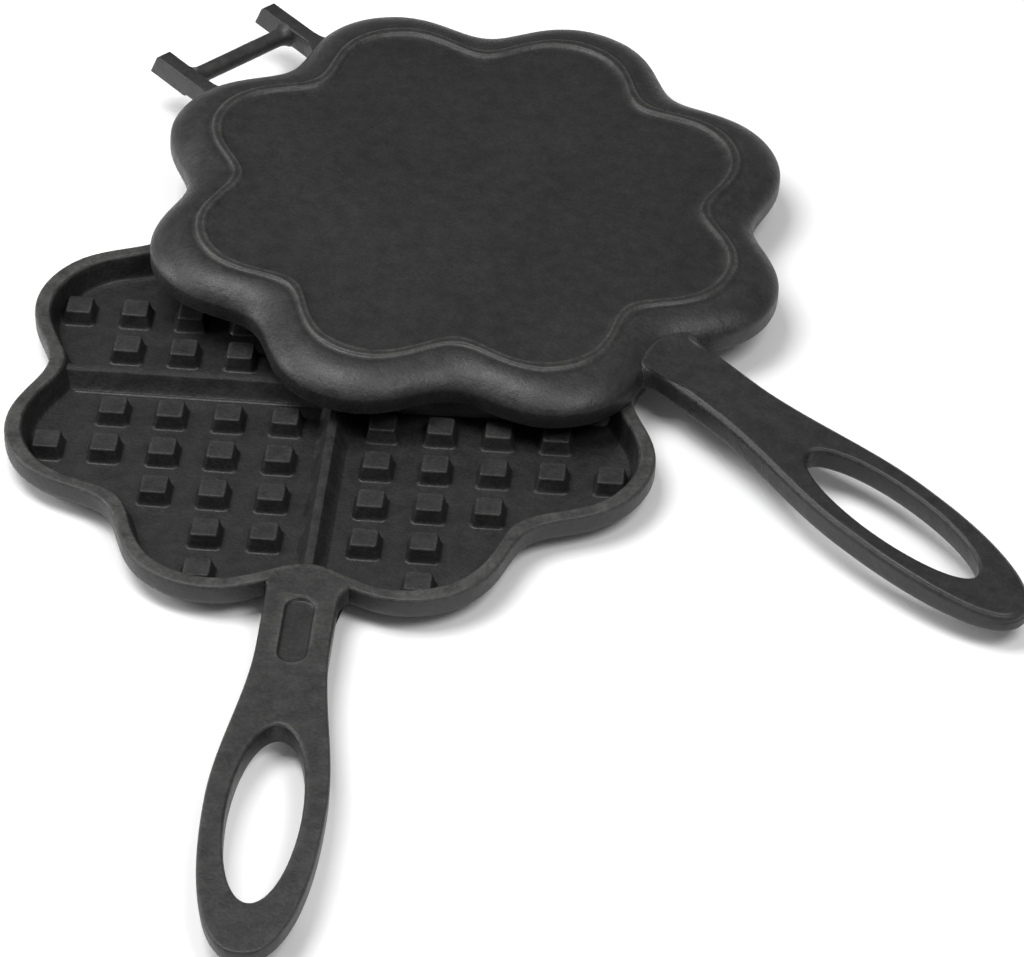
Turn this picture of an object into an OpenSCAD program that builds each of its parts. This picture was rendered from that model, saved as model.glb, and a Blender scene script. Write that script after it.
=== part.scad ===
// Stovetop waffle iron: two cast iron halves with flower-shaped plates and long loop handles.
// The upper half lies unhooked and askew on the lower half, turned and tipped as it was set down.
// Each half is drawn with its rim on the XY plane, its back toward +Z and its handle toward -Y.

/* [Plate] */
// Mean radius of the flower outline
plate_r = 94.3; // [80:0.1:110]
// How far each lobe stands out from the mean radius, and each valley in from it
lobe_rise = 6.8; // [3:0.1:9]
// How much the lobe tips are flattened
lobe_flat = 0.8; // [0:0.05:1.5]
// Height from the rim plane to the foot ring on the back
plate_h = 12; // [11.5:0.1:16]
// Height of the upright outer wall above the rim plane
wall_h = 5; // [4.5:0.1:6]
// Width of the rim around the waffle hollow
rim_w = 5; // [4:0.1:7]
// Slope of the hollow's wall from rim to floor, measured across
wall_slope = 2.6; // [1:0.1:4]
// Depth of the waffle hollow below the rim plane
hollow_d = 7.8; // [6.5:0.1:9]

/* [Back] */
// Distance in from the outline to the outer edge of the foot ring
foot_in = 14.3; // [11:0.1:18]
// Flat width of the foot ring
foot_w = 1.8; // [1:0.1:4]
// Width of the slope from the foot ring down to the panel
foot_slope = 2.6; // [1:0.1:4]
// Depth of the back panel below the foot ring
panel_drop = 1.3; // [0.5:0.1:2]

/* [Waffle grid] */
// Distance between neighbouring pips
pip_pitch = 17; // [15:0.1:20]
// Distance from a rib's middle to the first row of pips
pip_first = 14.3; // [12:0.1:18]
// Width of a pip at the floor
pip_base = 9.7; // [8:0.1:11]
// Width of a pip at its top
pip_top = 6.8; // [5:0.1:8]
// Depth of the pip tops below the rim plane
pip_below = 3.4; // [2.5:0.1:5]
// Least room from a pip's middle to the foot of the hollow's wall
pip_room = 4; // [3:0.1:6]
// Width of the heart dividing ribs at the floor
rib_base = 7; // [5:0.1:9]
// Width of the heart dividing ribs at the top
rib_top = 2.5; // [1.5:0.1:4]
// Depth of the rib tops below the rim plane
rib_below = 1.7; // [1:0.1:3]

/* [Handles] */
// Distance from the plate's middle to the handle's end
handle_end = 232; // [215:0.1:260]
// Distance from the plate's middle to the widest place of the handle
wide_at = 176; // [160:0.1:190]
// Distance from the plate's middle to the end of the straight neck
neck_to = 116; // [105:0.1:125]
// Width of the neck
neck_w = 20.6; // [16:0.1:24]
// Greatest width of the handle
wide_w = 33; // [28:0.1:40]
// Thickness of the handles
handle_t = 7.2; // [6.5:0.1:10]
// Radius of the fillets where the handle leaves the plate
root_r = 5; // [3:0.1:8]
// Narrow end of the hanging hole, from the plate's middle
hole_from = 147.4; // [140:0.1:155]
// Wide end of the hanging hole, from the plate's middle
hole_to = 213.5; // [200:0.1:216]
// Widest place of the hanging hole, from the plate's middle
hole_wide_at = 180; // [170:0.1:188]
// Greatest width of the hanging hole
hole_w = 20.2; // [14:0.1:22]
// Width of the shallow recess on the lower handle's face
recess_w = 8.5; // [6:0.1:12]
// Depth of the recess
recess_d = 1; // [0.4:0.1:2]
// Start of the recess, from the plate's middle
recess_from = 96; // [94:0.1:100]
// End of the recess, from the plate's middle
recess_to = 122.4; // [112:0.1:130]

/* [Hinge] */
// Distance from the plate's middle to the hinge bar's axis
bar_at = 111; // [108:0.1:116]
// Distance of the bar's axis from the rim plane, toward the lower half
bar_drop = 2; // [1:0.1:2.4]
// Diameter of the hinge bar
bar_d = 5.6; // [4.8:0.1:6.4]
// Clear width between the two arms
arm_gap = 37.8; // [34:0.1:42]
// Width of each arm
arm_w = 5.3; // [4.5:0.1:7]
// Height of each arm above the rim plane
arm_up = 1.9; // [1.6:0.1:3]
// Depth of each arm below the rim plane
arm_down = 5.9; // [5.2:0.1:6.5]
// Length of each arm past the bar's axis
arm_past = 12.8; // [10:0.1:18]
// How deep each end of the bar sits in its arm
bar_seat = 3; // [2:0.1:4]
// Radial clearance of the bar in the arms
seat_gap = 0.05; // [0.02:0.01:0.1]
// Width of the hook that takes the bar
hook_w = 24; // [14:0.1:30]
// Thickness of the hook's metal around the bar
hook_t = 3.8; // [2.4:0.1:3.9]
// Radial clearance of the bar in the hook
hook_gap = 0.4; // [0.2:0.05:0.8]
// How far the hook's lip reaches back over the bar, past its axis
hook_lip = 3.5; // [2:0.1:6]

/* [Lay of the upper half] */
// Sideways place of the upper half's middle
lay_x = 31.5; // [30:0.1:38]
// Front to back place of the upper half's middle
lay_y = 75.9; // [74:0.1:84]
// Height of the upper half's middle over the lower rim
lay_z = 3.0; // [2.9:0.1:8]
// Turn of the upper half on the lower half
lay_turn = 46.7; // [40:0.1:50]
// Tip of the upper half about the X axis
lay_tip_x = 0.5; // [0:0.1:1]
// Tip of the upper half about the Y axis
lay_tip_y = 2.2; // [2:0.1:2.4]

/* [Hidden] */
lobes = 8;
steps = 96;
eps = 0.01;
// How far pips and ribs run into the metal around the hollow
sink = 0.4;
valley_r = plate_r - lobe_rise - lobe_flat;
iron = [0.16, 0.16, 0.165];

// Radius of the flower outline in direction t
function lobe_r(t) = plate_r + lobe_rise * cos(lobes * t - 180) - lobe_flat * cos(2 * lobes * t);

// One ring of the flower, drawn in by some distance, at height z
function ring(inset, z) = [for (i = [0:steps - 1])
    let (t = 360 * i / steps, r = lobe_r(t) - inset) [r * cos(t), r * sin(t), z]];

// Half width of the handle at distance s from the plate's middle
function root_more(s) = let (u = valley_r + root_r - s)
    u <= 0 ? 0 : root_r - sqrt(max(0, root_r * root_r - min(u, root_r) * min(u, root_r)));
function swell(s) = let (t = min(1, max(0, (s - neck_to) / (wide_at - neck_to)))) t * t * (3 - 2 * t);
function half_w(s) = neck_w / 2 + (wide_w - neck_w) / 2 * swell(s) + root_more(s);

function end_w(s) = wide_w / 2 * pow(max(0, 1 - pow((s - wide_at) / (handle_end - wide_at), end_pow)), 1 / end_pow);
function side_w(s) = s > wide_at ? end_w(s) : half_w(s);
end_pow = 2.3;
side_n = 22;
end_n = 11;
// Places along the handle, closer together toward its end
stations = concat(
    [for (i = [0:side_n - 1]) valley_r - 6 + (wide_at - valley_r + 6) * i / side_n],
    [for (i = [0:end_n]) wide_at + (handle_end - wide_at) * (0.999 * sin(90 * i / end_n))]);

// A closed solid through rings of equal point count, given from low to high
module through(rings) {
    m = len(rings[0]);
    k = len(rings);
    points = [for (r = rings) each r];
    sides = [for (j = [0:k - 2]) for (i = [0:m - 1]) let (a = j * m + i, b = j * m + (i + 1) % m)
        each [[a, a + m, b + m], [a, b + m, b]]];
    low = [for (i = [0:m - 1]) i];
    high = [for (i = [m - 1:-1:0]) (k - 1) * m + i];
    polyhedron(points, concat([low], sides, [high]));
}

// The flower outline as a straight block between two heights
module flower_block(z0, z1) {
    translate([0, 0, z0])
        linear_extrude(z1 - z0)
            polygon([for (q = ring(0, 0)) [q[0], q[1]]]);
}

// The waffle hollow, from above the rim plane to the floor, or grown into the metal around it
module hollow_space(grow = 0) {
    through([
        ring(rim_w - grow, -1),
        ring(rim_w - grow, 0),
        ring(rim_w + wall_slope - grow, hollow_d + grow)]);
}

// One plate: upright wall, rounded shoulder, foot ring and sunk panel, with the hollow cut out
module plate() {
    rise = plate_h - wall_h;
    difference() {
        through([
            ring(0, 0),
            ring(0, wall_h),
            ring(foot_in * 0.09, wall_h + rise * 0.30),
            ring(foot_in * 0.27, wall_h + rise * 0.58),
            ring(foot_in * 0.52, wall_h + rise * 0.78),
            ring(foot_in * 0.84, wall_h + rise * 0.88),
            ring(foot_in, plate_h),
            ring(foot_in + foot_w, plate_h),
            ring(foot_in + foot_w + foot_slope, plate_h - panel_drop)]);
        hollow_space();
    }
    grid();
}

// True where a pip stands clear of the hollow's wall
function pip_fits(x, y) = norm([x, y]) <= lobe_r(atan2(y, x)) - rim_w - wall_slope - pip_room;

// A drafted pip, running on a little under the floor of the hollow
module pip() {
    more = (pip_base - pip_top) / (hollow_d - pip_below);
    hull() {
        translate([-pip_top / 2, -pip_top / 2, pip_below])
            cube([pip_top, pip_top, eps]);
        translate([-(pip_base + more) / 2, -(pip_base + more) / 2, hollow_d + 1 - eps])
            cube([pip_base + more, pip_base + more, eps]);
    }
}

// Ribs that divide the plate into four hearts
module rib() {
    more = (rib_base - rib_top) / (hollow_d - rib_below) / 2;
    rotate([90, 0, 0])
        translate([0, 0, -plate_r])
            linear_extrude(2 * plate_r)
                polygon([
                    [-rib_base / 2 - more, hollow_d + 1],
                    [-rib_top / 2, rib_below],
                    [rib_top / 2, rib_below],
                    [rib_base / 2 + more, hollow_d + 1]]);
}

// Pips and ribs on the floor of the hollow
module grid() {
    intersection() {
        hollow_space(sink);
        union() {
            rib();
            rotate([0, 0, 90])
                rib();
            for (sx = [-1, 1])
                for (sy = [-1, 1])
                    for (i = [0:5])
                        for (j = [0:5])
                            if (pip_fits(pip_first + i * pip_pitch, pip_first + j * pip_pitch))
                                translate([sx * (pip_first + i * pip_pitch), sy * (pip_first + j * pip_pitch), 0])
                                    pip();
        }
    }
}

// Outline of the hanging hole, narrower toward the plate
module hole_outline() {
    near = hole_wide_at - hole_from;
    far = hole_to - hole_wide_at;
    polygon([for (i = [0:47]) let (a = 7.5 * i, l = sin(a) > 0 ? near : far)
        [hole_w / 2 * cos(a), -hole_wide_at + l * sin(a)]]);
}

// Cross section of the handle at distance s: flat inner face, drafted sides, rounded back
module handle_section(s) {
    w = side_w(s);
    // The back is drawn in more toward the end
    thin = 1 - 0.45 * pow(max(0, (s - wide_at) / (handle_end - wide_at)), 4);
    t = handle_t * thin;
    k = min(1, w / 4);
    translate([0, -s, 0])
        rotate([90, 0, 0])
            linear_extrude(eps)
                polygon([
                    [-w, 0],
                    [w, 0],
                    [w - 0.3 * k, t - 2.4],
                    [w - 1 * k, t - 0.8],
                    [w - 2.4 * k, t],
                    [-w + 2.4 * k, t],
                    [-w + 1 * k, t - 0.8],
                    [-w + 0.3 * k, t - 2.4]]);
}

module handle() {
    difference() {
        for (i = [0:len(stations) - 2])
            hull() {
                handle_section(stations[i]);
                handle_section(stations[i + 1]);
            }
        translate([0, 0, -1])
            linear_extrude(handle_t + 2)
                hole_outline();
        flower_block(-1, handle_t + 1);
    }
}

// Long shallow recess with rounded ends on the handle's flat face
module recess() {
    r = recess_w / 2;
    translate([0, -recess_from - r, -1])
        cylinder(h = recess_d + 1, r = r, $fn = 48);
    translate([0, -recess_to + r, -1])
        cylinder(h = recess_d + 1, r = r, $fn = 48);
    translate([-r, -recess_to + r, -1])
        cube([recess_w, recess_to - recess_from - 2 * r, recess_d + 1]);
}

// One hinge arm with a blind seat for the bar, on the +X or -X side
module arm(side_x) {
    y_end = bar_at + arm_past;
    y_step = bar_at - 3;
    difference() {
        translate([side_x * (arm_gap + arm_w) / 2, 0, 0])
            rotate([90, 0, 90])
                translate([0, 0, -arm_w / 2])
                    linear_extrude(arm_w)
                        polygon([
                            [valley_r - 4, 0],
                            [valley_r + 7, 0],
                            [valley_r + 10, -arm_down + 1.2],
                            [y_step, -arm_down + 1],
                            [y_step + 1, -arm_down],
                            [y_end + 2.4, -arm_down],
                            [y_end + 2.4, -arm_down + 1.2],
                            [y_end + 1, -arm_down + 3],
                            [y_end, arm_up - 2.2],
                            [y_end - 0.6, arm_up - 0.7],
                            [y_end - 2.4, arm_up],
                            [valley_r - 4, arm_up]]);
        translate([0, bar_at, -bar_drop])
            rotate([0, 90, 0])
                cylinder(h = arm_gap + 2 * bar_seat + 0.4, r = bar_d / 2 + seat_gap, center = true, $fn = 64);
        flower_block(-arm_down - 1, arm_up + 1);
    }
}

module bar() {
    translate([0, bar_at, -bar_drop])
        rotate([0, 90, 0])
            cylinder(h = arm_gap + 2 * bar_seat, r = bar_d / 2, center = true, $fn = 64);
}

// Hook that passes under the bar, up its far side and back over it, drawn with its mouth to the plate
module hook() {
    bore = bar_d / 2 + hook_gap;
    out = bore + hook_t;
    difference() {
        union() {
            translate([0, bar_at, bar_drop])
                rotate([0, 90, 0])
                    cylinder(h = hook_w, r = out, center = true, $fn = 96);
            translate([-hook_w / 2, 0, 0])
                rotate([90, 0, 90])
                    linear_extrude(hook_w)
                        polygon([
                            [valley_r - 6, 1],
                            [valley_r + 8, 1],
                            [bar_at - out - 2, bar_drop + bore],
                            [bar_at, bar_drop + bore],
                            [bar_at, bar_drop + out],
                            [valley_r - 6, bar_drop + out]]);
            translate([-hook_w / 2, bar_at - hook_lip, bar_drop - out])
                cube([hook_w, hook_lip, hook_t]);
        }
        translate([0, bar_at, bar_drop])
            rotate([0, 90, 0])
                cylinder(h = hook_w + 2, r = bore, center = true, $fn = 96);
        translate([-hook_w / 2 - 1, bar_at - out - 1, bar_drop - bore])
            cube([hook_w + 2, out + 1, 2 * bore]);
        translate([-hook_w / 2 - 1, bar_at - out - 1, bar_drop - out - 1])
            cube([hook_w + 2, out + 1 - hook_lip, out + 1]);
        flower_block(-out - 1, plate_h);
    }
}

// The lower half lies on its back, so its rim is at plate_h above the stove
module lower() {
    translate([0, 0, plate_h])
        rotate([0, 180, 0])
            children();
}

// The upper half lies rim down on the lower one, turned and tipped
module upper() {
    translate([lay_x, lay_y, plate_h + lay_z])
        rotate([lay_tip_x, 0, 0])
            rotate([0, lay_tip_y, 0])
                rotate([0, 0, lay_turn])
                    children();
}

module lower_plate() {
    color(iron)
        lower()
            plate();
}

module lower_handle() {
    color(iron)
        lower()
            difference() {
                handle();
                recess();
            }
}

module lower_hook() {
    color(iron)
        lower()
            hook();
}

module upper_plate() {
    color(iron)
        upper()
            plate();
}

module upper_handle() {
    color(iron)
        upper()
            handle();
}

module hinge_arm_left() {
    color(iron)
        upper()
            arm(-1);
}

module hinge_arm_right() {
    color(iron)
        upper()
            arm(1);
}

module hinge_bar() {
    color(iron)
        upper()
            bar();
}

lower_plate();
lower_handle();
lower_hook();
upper_plate();
upper_handle();
hinge_arm_left();
hinge_arm_right();
hinge_bar();
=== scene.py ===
import math
import bpy
from mathutils import Euler, Matrix, Vector, noise
from mathutils.geometry import tessellate_polygon


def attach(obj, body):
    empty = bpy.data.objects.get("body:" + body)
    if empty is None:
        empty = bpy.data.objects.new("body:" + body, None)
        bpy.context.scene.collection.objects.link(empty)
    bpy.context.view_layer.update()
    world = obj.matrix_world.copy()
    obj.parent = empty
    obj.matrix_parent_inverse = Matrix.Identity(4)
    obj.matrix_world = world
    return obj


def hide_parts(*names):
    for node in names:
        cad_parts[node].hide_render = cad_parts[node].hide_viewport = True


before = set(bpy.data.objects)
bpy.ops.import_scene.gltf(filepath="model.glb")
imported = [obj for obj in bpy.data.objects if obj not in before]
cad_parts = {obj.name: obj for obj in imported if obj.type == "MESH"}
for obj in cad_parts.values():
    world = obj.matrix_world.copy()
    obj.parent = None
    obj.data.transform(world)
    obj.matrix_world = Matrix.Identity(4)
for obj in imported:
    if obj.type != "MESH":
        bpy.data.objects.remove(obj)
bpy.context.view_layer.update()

# ---------------------------------------------------------------- table top
# The iron lies on a plain white table top, matt and even. It takes a soft shadow
# from the lamps.
scene = bpy.context.scene
scene.view_settings.view_transform = "Standard"

table_mat = bpy.data.materials.new("white_table")
table_mat.use_nodes = True
table_nodes, table_links = table_mat.node_tree.nodes, table_mat.node_tree.links
table_nodes.clear()
table_out = table_nodes.new("ShaderNodeOutputMaterial")
table_paint = table_nodes.new("ShaderNodeBsdfDiffuse")
table_paint.inputs["Color"].default_value = (0.97, 0.97, 0.97, 1)
table_links.new(table_paint.outputs[0], table_out.inputs["Surface"])

table_mesh = bpy.data.meshes.new("table_top")
table_mesh.from_pydata(
    [(-6, -6, -0.0002), (6, -6, -0.0002), (6, 6, -0.0002), (-6, 6, -0.0002)], [], [(0, 1, 2, 3)])
table_top = bpy.data.objects.new("table_top", table_mesh)
table_mesh.materials.append(table_mat)
scene.collection.objects.link(table_top)

# ---------------------------------------------------------------- light
# A plain even room, one broad soft lamp overhead and to the left, and two weaker ones
# on either side. The rounded shoulders gleam grey and the near sides are in shade.
room = bpy.data.worlds.new("plain_room")
scene.world = room
room.use_nodes = True
room_light = room.node_tree.nodes["Background"]
room_light.inputs["Color"].default_value = (1, 1, 1, 1)
room_light.inputs["Strength"].default_value = 0.24


def soft_lamp(name, place, aim, width, power):
    lamp = bpy.data.lights.new(name, "AREA")
    lamp.shape = "SQUARE"
    lamp.size = width
    lamp.energy = power
    holder = bpy.data.objects.new(name, lamp)
    holder.location = place
    holder.rotation_euler = (Vector(aim) - Vector(place)).to_track_quat("-Z", "Y").to_euler()
    scene.collection.objects.link(holder)


soft_lamp("lamp_overhead", (-0.38, -0.02, 1.12), (0.02, 0.02, 0.0), 0.62, 10.5)
soft_lamp("lamp_left", (-1.05, 0.05, 0.50), (0.0, 0.05, 0.0), 0.40, 5.0)
soft_lamp("lamp_right", (0.52, -0.42, 1.05), (0.05, 0.0, 0.0), 0.50, 6.0)

# ---------------------------------------------------------------- camera
# A long lens a little over a metre away, about 41 degrees above the table, turned
# slightly so that the lower handle runs down to the left.
camera_data = bpy.data.cameras.new("camera")
camera_data.lens = 157.72
camera_data.sensor_width = 36
camera_data.clip_start = 0.05
camera_data.clip_end = 30
camera = bpy.data.objects.new("camera", camera_data)
camera.location = (0.12087, -1.01326, 0.85407)
camera.rotation_euler = Euler([math.radians(a) for a in (49.201, -0.93, 4.721)])
scene.collection.objects.link(camera)
scene.camera = camera

# ---------------------------------------------------------------- cast iron
# Both halves are sand-cast grey iron with a baked-on black oil seasoning. The sand
# leaves a fine pebbled skin; ground rims and crests have worn to a lighter grey, and
# the rounded edges carry painted highlight lines.
iron = bpy.data.materials.new("seasoned_iron")
iron.use_nodes = True
iron_nodes, iron_links = iron.node_tree.nodes, iron.node_tree.links
iron_nodes.clear()
iron_out = iron_nodes.new("ShaderNodeOutputMaterial")
skin = iron_nodes.new("ShaderNodeBsdfPrincipled")
skin.inputs["Specular IOR Level"].default_value = 0.5
skin.inputs["IOR"].default_value = 1.5
iron_links.new(skin.outputs[0], iron_out.inputs["Surface"])
place = iron_nodes.new("ShaderNodeTexCoord")
wear_and_highlight_paint = iron_nodes.new("ShaderNodeAttribute")
wear_and_highlight_paint.attribute_name = "wear_and_highlight"


def iron_noise(scale, detail, rough):
    grain = iron_nodes.new("ShaderNodeTexNoise")
    grain.inputs["Scale"].default_value = scale
    grain.inputs["Detail"].default_value = detail
    grain.inputs["Roughness"].default_value = rough
    iron_links.new(place.outputs["Object"], grain.inputs["Vector"])
    return grain


def iron_range(source, low, high, to_low, to_high):
    span = iron_nodes.new("ShaderNodeMapRange")
    for socket, value in zip(("From Min", "From Max", "To Min", "To Max"), (low, high, to_low, to_high)):
        span.inputs[socket].default_value = value
    iron_links.new(source, span.inputs["Value"])
    return span.outputs["Result"]


def iron_math(operation, first, second):
    sum_node = iron_nodes.new("ShaderNodeMath")
    sum_node.operation = operation
    for socket, value in zip(sum_node.inputs, (first, second)):
        if isinstance(value, (int, float)):
            socket.default_value = value
        else:
            iron_links.new(value, socket)
    return sum_node.outputs[0]


clouds = iron_noise(28, 4, 0.55)       # oil laid on thicker and thinner, about 35 mm across
mottle = iron_noise(210, 3, 0.6)       # patches a few millimetres across
pebble = iron_noise(900, 3, 0.55)      # sand grain, about a millimetre
grit = iron_noise(2600, 2, 0.5)        # fine grit

tone = iron_nodes.new("ShaderNodeValToRGB")
tone.color_ramp.elements[0].position = 0.30
tone.color_ramp.elements[0].color = (0.0080, 0.0080, 0.0083, 1)
tone.color_ramp.elements[1].position = 0.72
tone.color_ramp.elements[1].color = (0.0190, 0.0187, 0.0183, 1)
patchy = iron_math("ADD", iron_math("MULTIPLY", clouds.outputs["Fac"], 0.55),
                   iron_math("MULTIPLY", mottle.outputs["Fac"], 0.45))
iron_links.new(patchy, tone.inputs["Fac"])

# Lighter grey where rims and crests are rubbed bare, plus painted highlight lines along rounded edges, as the
# mesh attribute sets.
rubbed_and_highlight = iron_nodes.new("ShaderNodeMix")
rubbed_and_highlight.data_type = "RGBA"
rubbed_and_highlight.inputs["B"].default_value = (0.066, 0.065, 0.063, 1)
iron_links.new(tone.outputs["Color"], rubbed_and_highlight.inputs["A"])
rub_and_highlight_amount = iron_math("MULTIPLY", wear_and_highlight_paint.outputs["Fac"],
                       iron_range(mottle.outputs["Fac"], 0.32, 0.66, 0.35, 1.0))
iron_links.new(rub_and_highlight_amount, rubbed_and_highlight.inputs["Factor"])

speckled = iron_nodes.new("ShaderNodeMix")
speckled.data_type = "RGBA"
speckled.blend_type = "MULTIPLY"
speckled.inputs["B"].default_value = (0.55, 0.55, 0.55, 1)
iron_links.new(rubbed_and_highlight.outputs["Result"], speckled.inputs["A"])
iron_links.new(iron_range(pebble.outputs["Fac"], 0.38, 0.62, 0.75, 0.0), speckled.inputs["Factor"])
iron_links.new(speckled.outputs["Result"], skin.inputs["Base Color"])

iron_links.new(iron_math("ADD", iron_range(mottle.outputs["Fac"], 0.3, 0.7, 0.41, 0.53),
                         iron_range(grit.outputs["Fac"], 0.3, 0.7, -0.05, 0.06)),
               skin.inputs["Roughness"])

# the flat panel and rims were struck smooth in the mould, the curved sides are coarser
facing = iron_nodes.new("ShaderNodeSeparateXYZ")
iron_links.new(place.outputs["Normal"], facing.inputs[0])
coarse = iron_range(iron_math("ABSOLUTE", facing.outputs["Z"], 0.0), 0.80, 0.985, 1.0, 0.22)
hammer = iron_noise(125, 3, 0.5)       # shallow dents about 8 mm across
lumps = iron_math("MULTIPLY", coarse, iron_math("ADD", iron_math("MULTIPLY", mottle.outputs["Fac"], 1.5),
                                                iron_math("MULTIPLY", hammer.outputs["Fac"], 1.5)))
bumps = iron_math("ADD", lumps, iron_math("ADD", iron_math("MULTIPLY", pebble.outputs["Fac"], 0.55),
                                          iron_math("MULTIPLY", grit.outputs["Fac"], 0.22)))
sand_skin = iron_nodes.new("ShaderNodeBump")
sand_skin.inputs["Strength"].default_value = 0.55
sand_skin.inputs["Distance"].default_value = 0.00032
iron_links.new(bumps, sand_skin.inputs["Height"])
iron_links.new(sand_skin.outputs[0], skin.inputs["Normal"])

# ---------------------------------------------------------------- lower plate
# One round casting with an outline of eight lobes. Its wall turns over a rounded shoulder
# to a narrow foot ring; inside the flat rim lies the waffle hollow, with drafted pips
# and two ribs that part it into four hearts. The sand mould leaves every edge soft.
plate_r, lobe_rise, lobe_flat = 94.3, 6.8, 0.8
plate_h, wall_h = 12.0, 5.0
rim_w, wall_slope, hollow_d = 5.0, 2.6, 7.8
foot_in, panel_drop = 14.3, 1.3
shoulder_w, panel_in, rib_reach = 0.84 * foot_in, 20.5, 81.6
valley_r = plate_r - lobe_rise - lobe_flat
round_steps = 384


def lobe_r(t):
    return plate_r + lobe_rise * math.cos(8 * t - math.pi) - lobe_flat * math.cos(16 * t)


def flower(inset, z, shrink=1.0):
    ring = []
    for i in range(round_steps):
        t = 2 * math.pi * i / round_steps
        r = (lobe_r(t) - inset) * shrink
        ring.append((r * math.cos(t), r * math.sin(t), z))
    return ring


def new_casting():
    return {"points": [], "faces": [], "wear_and_highlight": []}


def loft(cast, rings, cap_first=False, cap_last=False):
    """Skins rings of equal count; each entry is (ring, amount of wear and painted edge highlight)."""
    base, n = len(cast["points"]), len(rings[0][0])
    for ring, wear_and_highlight in rings:
        cast["points"] += ring
        cast["wear_and_highlight"] += [wear_and_highlight] * n
    for j in range(len(rings) - 1):
        for i in range(n):
            a, b = base + j * n + i, base + j * n + (i + 1) % n
            cast["faces"].append((a, b, b + n, a + n))
    if cap_first:
        cast["faces"].append(tuple(base + i for i in range(n))[::-1])
    if cap_last:
        cast["faces"].append(tuple(base + (len(rings) - 1) * n + i for i in range(n)))
    return base


def back_height(inset):
    """Height of the shoulder at a distance in from the outline."""
    a = min(1.0, max(0.0, inset / shoulder_w))
    return wall_h + 0.88 * (plate_h - wall_h) * (1 - (1 - a) ** 1.85) ** 0.646


def plate_rings():
    panel_steps = (0.03, 0.1, 0.2, 0.32, 0.45, 0.58, 0.7, 0.8, 0.88, 0.94)
    rings = [(flower(panel_in, plate_h - panel_drop, k), 0.0) for k in panel_steps]
    # The foot ring is lighter along both its edges: rubbed wear, plus painted highlight lines, with less
    # between.
    crest = [(21.5, -1.30, 0), (19.4, -1.30, 0), (18.6, -1.24, 0.05), (18.0, -1.08, 0.1),
             (17.5, -0.82, 0.15), (17.1, -0.48, 0.35),
             (16.8, -0.20, 0.85), (16.5, -0.05, 1), (16.1, 0, 0.7), (15.6, -0.05, 0.2),
             (15.1, -0.06, 0.15), (14.6, -0.02, 0.35),
             (14.2, -0.02, 0.9), (13.9, -0.13, 1), (13.6, -0.36, 0.5), (13.2, -0.66, 0.15),
             (12.7, -0.88, 0.05), (12.3, -0.90, 0)]
    rings += [(flower(inset, plate_h + dz), wear_and_highlight) for inset, dz, wear_and_highlight in crest]
    for j in range(16, 0, -1):
        a = (j / 16) ** 1.7
        rings.append((flower(shoulder_w * a, back_height(shoulder_w * a)), 0.12))
    wall = [(0, 5, 0.1), (-0.04, 4.2, 0.05), (-0.08, 3, 0), (-0.06, 1.6, 0), (0.0, 0.8, 0.2),
            (0.14, 0.36, 0.5), (0.4, 0.1, 0.8),
            (0.8, 0, 0.9), (1.6, -0.0, 0.9), (2.6, 0, 0.8), (3.6, 0, 0.9), (4.4, 0.02, 1),
            (4.8, 0.14, 0.8), (5.02, 0.4, 0.4)]
    rings += [(flower(inset, z), wear_and_highlight) for inset, z, wear_and_highlight in wall]
    rings += [(flower(rim_w + wall_slope * z / hollow_d, z), 0.0) for z in (0.8, 2, 3.4, 5, 6.3)]
    floor_curve = ((7.45, 6.95), (7.9, 7.38), (8.6, 7.66), (9.8, 7.78), (12, 7.8))
    rings += [(flower(inset, z), 0.0) for inset, z in floor_curve]
    rings += [(flower(12, hollow_d, k), 0.0) for k in (0.93, 0.82, 0.68, 0.52, 0.36, 0.2, 0.08, 0.02)]
    return rings


def soft_square(half, corner, z, x, y):
    ring = []
    for quarter in range(4):
        for step in range(6):
            a = math.radians(90 * quarter + 18 * step)
            sx = 1 if quarter in (0, 3) else -1
            sy = 1 if quarter in (0, 1) else -1
            ring.append((x + sx * (half - corner) + corner * math.cos(a),
                         y + sy * (half - corner) + corner * math.sin(a), z))
    return ring


pip_pitch, pip_first, pip_base, pip_top, pip_below, pip_room = 17.0, 14.3, 9.7, 7.5, 3.4, 4.0


def pip(cast, x, y):
    draft = (pip_base - pip_top) / 2 / (hollow_d - pip_below)
    rings = [(soft_square(pip_base / 2 + 0.7, 2.0, hollow_d + 0.06, x, y), 0),
             (soft_square(pip_base / 2 + 0.3, 1.7, hollow_d - 0.12, x, y), 0),
             (soft_square(pip_base / 2 + 0.02, 1.5, hollow_d - 0.45, x, y), 0),
             (soft_square(pip_base / 2 - 0.25, 1.3, hollow_d - 1.2, x, y), 0)]
    for z in (5.4, 4.5, 4.05):
        rings.append((soft_square(pip_top / 2 + draft * (z - pip_below), 1.05, z, x, y), 0.05))
    # The rounded top edge is lighter: rubbed wear, plus a painted highlight line.
    rings += [(soft_square(pip_top / 2 + 0.10, 0.95, pip_below + 0.26, x, y), 0.3),
              (soft_square(pip_top / 2 + 0.01, 0.92, pip_below + 0.09, x, y), 0.5),
              (soft_square(pip_top / 2 - 0.16, 0.85, pip_below + 0.01, x, y), 0.45),
              (soft_square(pip_top / 2 - 0.45, 0.7, pip_below, x, y), 0.3),
              (soft_square(pip_top / 2 - 1.1, 0.5, pip_below, x, y), 0.12)]
    loft(cast, rings, cap_last=True)


rib_base, rib_below = 7.0, 1.7


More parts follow.
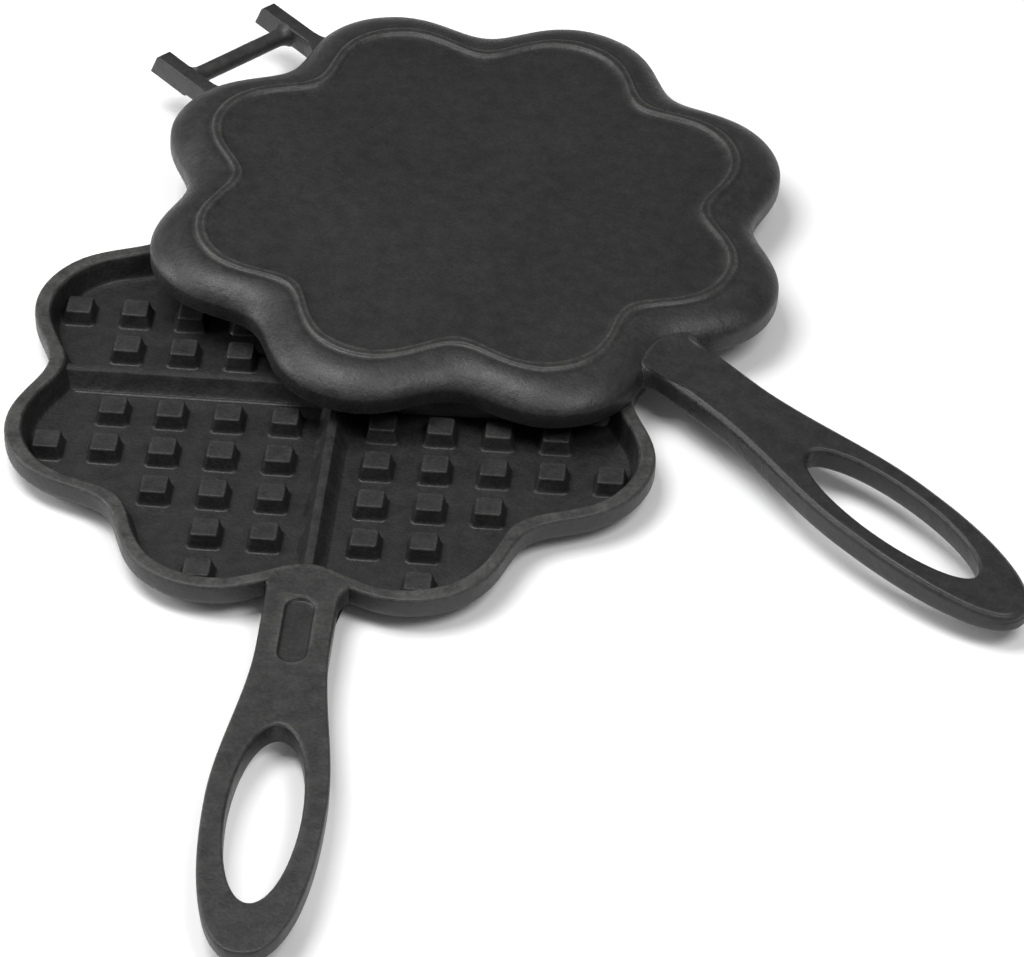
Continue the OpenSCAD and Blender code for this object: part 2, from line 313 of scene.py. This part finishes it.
def rib(cast, along_x):
    side = [(rib_base / 2 + 1.5, hollow_d + 0.06), (rib_base / 2 + 0.8, hollow_d - 0.14),
            (rib_base / 2 + 0.25, hollow_d - 0.6),
            (rib_base / 2 - 0.25, hollow_d - 1.4), (2.45, 4.9), (1.85, 3.3), (1.5, 2.4), (1.28, 1.98),
            (0.95, 1.76), (0.5, rib_below)]
    section = [(-x, z) for x, z in side] + [(x, z) for x, z in side[::-1]]
    rings = []
    for j in range(25):
        s = -rib_reach + 2 * rib_reach * j / 24
        rings.append(([(s, x, z) if along_x else (-x, s, z) for x, z in section], 0.15))
    loft(cast, rings, cap_first=True, cap_last=True)


def cast_plate():
    cast = new_casting()
    loft(cast, plate_rings(), cap_first=True, cap_last=True)
    rib(cast, True)
    rib(cast, False)
    for sx in (-1, 1):
        for sy in (-1, 1):
            for i in range(6):
                for j in range(6):
                    x, y = pip_first + i * pip_pitch, pip_first + j * pip_pitch
                    if math.hypot(x, y) <= lobe_r(math.atan2(y, x)) - rim_w - wall_slope - pip_room:
                        pip(cast, sx * x, sy * y)
    return cast


lower_place = Matrix.Translation((0, 0, plate_h)) @ Matrix.Rotation(math.pi, 4, "Y")


def pour(name, cast, put, node, body, sharp=38):
    """Makes the mesh piece: a slightly uneven casting in metres, at its place in the row."""
    spots = []
    for p in cast["points"]:
        v = Vector(p)
        dent = noise.noise(v * 0.045) * 0.16 + noise.noise(v * 0.16 + Vector((7, 3, 1))) * 0.06
        v.z += dent * 0.6
        spots.append((put @ v) * 0.001)
    mesh = bpy.data.meshes.new(name)
    mesh.from_pydata(spots, [], cast["faces"])
    mesh.validate()
    wear_and_highlight = mesh.attributes.new("wear_and_highlight", "FLOAT", "POINT")
    wear_and_highlight.data.foreach_set("value", cast["wear_and_highlight"])
    mesh.shade_smooth()
    mesh.set_sharp_from_angle(angle=math.radians(sharp))
    mesh.materials.append(iron)
    piece = bpy.data.objects.new(name, mesh)
    scene.collection.objects.link(piece)
    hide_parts(node)
    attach(piece, body)
    return piece


pour("lower_plate_casting", cast_plate(), lower_place, "lower_plate", "lower_half")

# ---------------------------------------------------------------- lower handle
# A flat tapering bar cast in one with the plate, wider toward its blunt rounded end.
# An egg-shaped hole lets it hang; a shallow recess lies in its flat face near the plate.
neck_w, wide_w, neck_to, wide_at, handle_end = 20.6, 33.0, 116.0, 176.0, 232.0
handle_t, end_pow = 7.2, 2.3
hole_from, hole_to, hole_wide_at, hole_w = 147.4, 213.5, 180.0, 20.2
recess_w, recess_d, recess_from, recess_to = 8.5, 1.0, 96.0, 122.4
root_reach, root_tight, root_wide = 87.8, 5.0, 9.5


def handle_half(s, root_curve):
    root_from = root_reach + root_curve
    t = min(1.0, max(0.0, (s - neck_to) / (wide_at - neck_to)))
    flare = 0.0
    if s < root_from:
        d = min(root_curve, root_from - s)
        flare = root_curve - math.sqrt(root_curve ** 2 - d ** 2)
    return neck_w / 2 + (wide_w - neck_w) / 2 * t * t * (3 - 2 * t) + flare


def handle_outline():
    """Points (x, s) round the handle: the right side out to the end, back on the left,
    then across the root."""
    right, left = [], []
    first = 90.3
    for i in range(56):
        s = first + (wide_at - first) * (i / 56) ** 1.15
        right.append((handle_half(s, root_tight), s))
        left.append((-handle_half(s, root_wide), s))
    for i in range(40):
        a = math.pi / 2 * i / 40
        right.append((wide_w / 2 * math.cos(a) ** (2 / end_pow),
                      wide_at + (handle_end - wide_at) * math.sin(a) ** (2 / end_pow)))
        left.append((-right[-1][0], right[-1][1]))
    tip = [(0.0, handle_end)]
    left.reverse()
    t0, t1 = math.atan2(left[-1][0], first), math.atan2(right[0][0], first)
    root = []
    for i in range(1, 24):
        t = t0 + (t1 - t0) * i / 24
        r = lobe_r(t - math.pi / 2) - 3.5
        root.append((r * math.sin(t), r * math.cos(t)))
    return right, tip, left, root


def hole_angle(s):
    if s < 150:
        return -84 + 19 * (s - 90) / 60
    return -65 + 155 * (s - 150) / (handle_end - 150)


def hole_point(a, more):
    length = (hole_to - hole_wide_at) if math.sin(a) > 0 else (hole_wide_at - hole_from)
    return ((hole_w / 2 + more) * math.cos(a), hole_wide_at + (length + more) * math.sin(a))


def ring_inward(ring, reach):
    """Moves a closed ring of (x, s) inward by reach."""
    out = []
    n = len(ring)
    for i, (x, s) in enumerate(ring):
        ax, ay = ring[i - 1]
        bx, by = ring[(i + 1) % n]
        dx, dy = bx - ax, by - ay
        size = math.hypot(dx, dy) or 1.0
        out.append((x - reach * dy / size, s + reach * dx / size))
    return out


def handle_thick(s):
    return handle_t * (1 - 0.30 * max(0.0, (s - wide_at) / (handle_end - wide_at)) ** 3)


def root_rise(x, s):
    """The back climbs in a fillet from the handle onto the plate's shoulder."""
    inset = lobe_r(math.atan2(-s, x)) - math.hypot(x, s)
    if inset < -6:
        return 0.0
    shoulder = back_height(inset) if inset > 0 else wall_h + 0.5 * inset
    gap = abs(shoulder - handle_t)
    fillet = max(0.0, 4.4 - gap) ** 2 / 17.6
    fade = 1 - min(1.0, abs(x) / 13.0) ** 3
    return max(0.0, shoulder - 0.12 - handle_t) + fillet * fade


def cast_handle(with_recess):
    cast = new_casting()
    right, tip, left, root = handle_outline()
    outer = right + tip + left + root
    angles = [math.radians(hole_angle(s)) for _, s in right] + [math.pi / 2]
    angles += [math.pi - a for a in angles[:-1][::-1]]
    angles += [math.radians(-96 + 12 * i / 24) for i in range(1, 24)]
    face = -0.03
    rings = []
    # The rounded edges of the flat face and of the hole are lighter: rubbed wear, plus painted highlight
    # lines.
    under_edge = ((2.4, face, 0.28), (1.3, face, 0.4), (0.75, face, 0.55), (0.4, face + 0.06, 0.6),
                  (0.14, face + 0.26, 0.5), (0.02, face + 0.6, 0.2), (0, 1.4, 0), (0.08, 3.0, 0))
    for reach, z, wear_and_highlight in under_edge:
        rings.append(([(x, -s, z) for x, s in ring_inward(outer, reach)], wear_and_highlight))
    for k in range(0, 9):
        a = math.pi / 2 * k / 8
        reach = 0.2 + 1.9 * (1 - math.cos(a))
        ring = ring_inward(outer, reach)
        rings.append(([(x, -s, handle_thick(s) - 2.1 + 2.1 * math.sin(a) + root_rise(x, s))
                       for x, s in ring],
                      0.3 if 3 < k < 8 else 0.1))
    edge = ring_inward(outer, 2.12)
    bank = [hole_point(a, 1.5) for a in angles]
    for j in range(1, 17):
        f = (j / 16) ** 1.35
        ring = []
        for (x0, s0), (x1, s1) in zip(edge, bank):
            x, s = x0 + (x1 - x0) * f, s0 + (s1 - s0) * f
            ring.append((x, -s, handle_thick(s) + root_rise(x, s)))
        rings.append((ring, 0.08))
    for more, dz, wear_and_highlight in ((0.95, -0.08, 0.2), (0.45, -0.3, 0.4), (0.12, -0.75, 0.3), (0, -1.5, 0)):
        rings.append(([(x, -s, handle_thick(s) + dz) for x, s in (hole_point(a, more) for a in angles)],
                      wear_and_highlight))
    hole_under_edge = ((0, 3.0, 0), (0, 1.2, 0), (0.1, face + 0.62, 0.4), (0.34, face + 0.24, 0.8),
                       (0.7, face + 0.05, 0.9), (1.1, face, 0.5), (2.2, face, 0.28))
    for more, z, wear_and_highlight in hole_under_edge:
        rings.append(([(x, -s, z) for x, s in (hole_point(a, more) for a in angles)], wear_and_highlight))
    n = len(outer)
    base = loft(cast, rings)
    outer_at = [base + i for i in range(n)]
    hole_at = [base + (len(rings) - 1) * n + i for i in range(n)]
    loops, marks = [[Vector(cast["points"][i]).to_2d().to_3d() for i in outer_at]], [outer_at]
    loops.append([Vector(cast["points"][i]).to_2d().to_3d() for i in hole_at[::-1]])
    marks.append(hole_at[::-1])
    if with_recess:
        def slot_ring(more, z):
            r = recess_w / 2 + more
            near, far = recess_from + recess_w / 2, recess_to - recess_w / 2
            ring = []
            for k in range(17):
                a = math.pi * k / 16
                ring.append((r * math.cos(a), -(far + r * math.sin(a)), z))
            for k in range(17):
                a = math.pi + math.pi * k / 16
                ring.append((r * math.cos(a), -(near + r * math.sin(a)), z))
            return ring
        # The lip of the recess is lighter: rubbed wear, plus a painted highlight outline.
        slot = [(slot_ring(1.1, face), 0.5), (slot_ring(0.7, face), 0.8),
                (slot_ring(0.35, face + 0.07), 1), (slot_ring(0.05, face + 0.3), 0.8),
                (slot_ring(-0.1, 0.6), 0), (slot_ring(-0.35, 0.86), 0), (slot_ring(-0.8, 0.98), 0),
                (slot_ring(-1.5, recess_d), 0)]
        slot_base = loft(cast, slot, cap_last=True)
        slot_at = [slot_base + i for i in range(len(slot[0][0]))]
        loops.append([Vector(cast["points"][i]).to_2d().to_3d() for i in slot_at])
        marks.append(slot_at)
    flat = [i for mark in marks for i in mark]
    for tri in tessellate_polygon(loops):
        cast["faces"].append(tuple(flat[i] for i in tri))
    return cast


pour("lower_handle_casting", cast_handle(True), lower_place, "lower_handle", "lower_half", 50)

# ---------------------------------------------------------------- lower hook
# A stout tongue on the far side of the plate that turns up and over into an open hook.
# The bar of the other half drops behind its lip, so the two halves can open like a book.
bar_at, bar_drop, bar_d, hook_w, hook_t, hook_gap, hook_lip = 111.0, 2.0, 5.6, 24.0, 3.8, 0.4, 3.5


def soft_corners(corners, r, steps=5):
    """Rounds the corners of a closed outline with small arcs."""
    out = []
    n = len(corners)
    for i, (x, y) in enumerate(corners):
        p, a, b = Vector((x, y)), Vector(corners[i - 1]), Vector(corners[(i + 1) % n])
        ra = min(r, (a - p).length * 0.45)
        rb = min(r, (b - p).length * 0.45)
        p0, p1 = p + (a - p).normalized() * ra, p + (b - p).normalized() * rb
        for k in range(steps + 1):
            f = k / steps
            q = p0 * (1 - f) ** 2 + p * 2 * f * (1 - f) + p1 * f ** 2
            out.append((q.x, q.y))
    return out


def slab(cast, outline, x0, x1, soft, wear_and_highlight=0.25):
    """Extrudes a (y, z) outline from x0 to x1 with rounded long edges."""
    area = sum(outline[i - 1][0] * outline[i][1] - outline[i][0] * outline[i - 1][1]
               for i in range(len(outline)))
    turn = 1 if area > 0 else -1
    near = [([(x0, y, z) for y, z in ring_inward(outline, turn * soft * 1.3)], 0)]
    for k in range(5):
        a = math.pi / 2 * k / 4
        near.append(([(x0 + soft * (1 - math.sin(a)), y, z)
                      for y, z in ring_inward(outline, turn * soft * (1 - math.cos(a)))], wear_and_highlight))
    near = near[:1] + near[:0:-1]
    near.append(([(x0 + soft * 1.4, y, z) for y, z in outline], 0.1))
    far = [([(x0 + x1 - x, y, z) for x, y, z in ring], w) for ring, w in near[::-1]]
    loft(cast, near + far, cap_first=True, cap_last=True)


hook_line = [(valley_r - 4, 8.9), (97, 9.0), (bar_at, 9.0)]
bore, out_r = bar_d / 2 + hook_gap, bar_d / 2 + hook_gap + hook_t
for k in range(1, 24):
    a = math.radians(90 - 180 * k / 24)
    hook_line.append((bar_at + out_r * math.cos(a), bar_drop + out_r * math.sin(a)))
hook_line += [(bar_at, bar_drop - out_r), (bar_at - hook_lip, bar_drop - out_r),
              (bar_at - hook_lip, bar_drop - bore), (bar_at, bar_drop - bore)]
for k in range(1, 20):
    a = math.radians(-90 + 180 * k / 20)
    hook_line.append((bar_at + bore * math.cos(a), bar_drop + bore * math.sin(a)))
hook_line += [(bar_at, bar_drop + bore), (102, bar_drop + bore), (98, 3.4), (94.7, 1.0),
              (valley_r - 3.4, 1.0)]
hook_cast = new_casting()
slab(hook_cast, soft_corners(hook_line, 1.0, 3), -hook_w / 2, hook_w / 2, 0.9)
pour("lower_hook_casting", hook_cast, lower_place, "lower_hook", "lower_half", 50)

# ---------------------------------------------------------------- upper plate
# The second casting is the same plate. It lies rim down on the first, turned and a
# little tipped, so its back shows: rounded shoulder, foot ring (worn, with painted
# highlight lines on its edges) and sunk panel.
lay_x, lay_y, lay_z, lay_turn, lay_tip_x, lay_tip_y = 31.5, 75.9, 3.0, 46.7, 0.5, 2.2
upper_place = (Matrix.Translation((lay_x, lay_y, plate_h + lay_z))
               @ Matrix.Rotation(math.radians(lay_tip_x), 4, "X")
               @ Matrix.Rotation(math.radians(lay_tip_y), 4, "Y")
               @ Matrix.Rotation(math.radians(lay_turn), 4, "Z"))
pour("upper_plate_casting", cast_plate(), upper_place, "upper_plate", "upper_half")

# ---------------------------------------------------------------- upper handle
# The same handle without the recess; here its rounded back is up.
pour("upper_handle_casting", cast_handle(False), upper_place, "upper_handle", "upper_half", 50)

# ---------------------------------------------------------------- hinge arms
# Two short arms cast on the upper plate's far side carry the bar. They drop below the
# rim on the outer part, so that the bar can sit in the hook of the lower half.
arm_gap, arm_w, arm_up, arm_down, arm_past = 37.8, 5.3, 1.9, 5.9, 12.8
arm_end = bar_at + arm_past
arm_straight = 120.2                   # as far as this the arms keep one section
arm_under = [(86, 0.6), (93.4, 0.4), (95, -1.0), (96.7, -4.6), (100, -4.9), (108, -4.9),
             (109.4, -arm_down), (130, -arm_down)]
arm_over = [(86, 5.2), (91, 4.1), (93.5, 3.3), (96, 2.6), (99, 2.15), (104, arm_up), (130, arm_up)]
arm_face = [(-arm_down, arm_end + 2.4), (-4.7, arm_end + 2.3), (-2.9, arm_end + 1.0), (-0.3, arm_end),
            (1.2, arm_end - 0.6), (arm_up, arm_end - 1.2)]


def along(line, at):
    """Reads a value off a line of (place, value) points."""
    for (p0, v0), (p1, v1) in zip(line, line[1:]):
        if at <= p1:
            return v0 + (v1 - v0) * min(1.0, max(0.0, (at - p0) / (p1 - p0)))
    return line[-1][1]


def arm_section(middle, half, low_z, high_z, soft):
    """Rounded rectangle in (x, z)."""
    ring = []
    for cx, cz, start in ((1, 1, 0), (-1, 1, 90), (-1, -1, 180), (1, -1, 270)):
        for k in range(6):
            a = math.radians(start + 18 * k)
            ring.append((middle + cx * (half - soft) + soft * math.cos(a),
                         (high_z - soft if cz > 0 else low_z + soft) + soft * math.sin(a)))
    return ring


for side, side_name in ((-1, "left"), (1, "right")):
    arm_cast = new_casting()
    arm_rings = []
    middle = side * (arm_gap + arm_w) / 2
    for y in [86 + 0.75 * k for k in range(45)] + [119.7, arm_straight]:
        spread = 1.0 + 1.3 * min(1.0, max(0.0, (102 - y) / 8.5)) ** 2.4
        section = arm_section(middle, arm_w / 2 * spread, along(arm_under, y), along(arm_over, y), 0.6)
        arm_rings.append(([(x, y, z) for x, z in section], 0.2))
    end_steps = ((0.3, 0), (0.6, 0), (0.85, 0), (0.95, 0.03), (0.985, 0.2), (1.0, 0.5), (1.0, 1.0),
                 (1.0, 1.8), (1.0, 2.4))
    for f, inset in end_steps:
        section = arm_section(middle, arm_w / 2 - inset, -arm_down + inset, arm_up - inset,
                              max(0.05, 0.6 - inset * 0.5) if inset < 1 else 0.1)
        arm_rings.append(([(x, arm_straight + (along(arm_face, z) - arm_straight) * f, z) for x, z in section],
                          0.6 if 0 < inset < 0.6 else 0.1))
    loft(arm_cast, arm_rings, cap_first=True, cap_last=True)
    pour("hinge_arm_%s_casting" % side_name, arm_cast, upper_place, "hinge_arm_" + side_name,
         "upper_half", 40)

# ---------------------------------------------------------------- hinge bar
# A round bar cast between the arms, swelling where it runs into each of them. It is
# what turns in the hook when the iron is opened.
bar_half, swell_from, swell_run, swell_r = 19.4, 15.2, 4.2, 1.5
bar_cast = new_casting()
bar_rings = []
for j in range(41):
    x = -bar_half + 2 * bar_half * j / 40
    swell = max(0.0, abs(x) - swell_from) / swell_run
    r = bar_d / 2 - 0.03 + swell_r * swell ** 2.2
    bar_rings.append(([(x, bar_at + r * math.cos(2 * math.pi * k / 40),
                        -bar_drop + r * math.sin(2 * math.pi * k / 40)) for k in range(40)], 0.4))
loft(bar_cast, bar_rings, cap_first=True, cap_last=True)
pour("hinge_bar_casting", bar_cast, upper_place, "hinge_bar", "hinge_bar", 60)
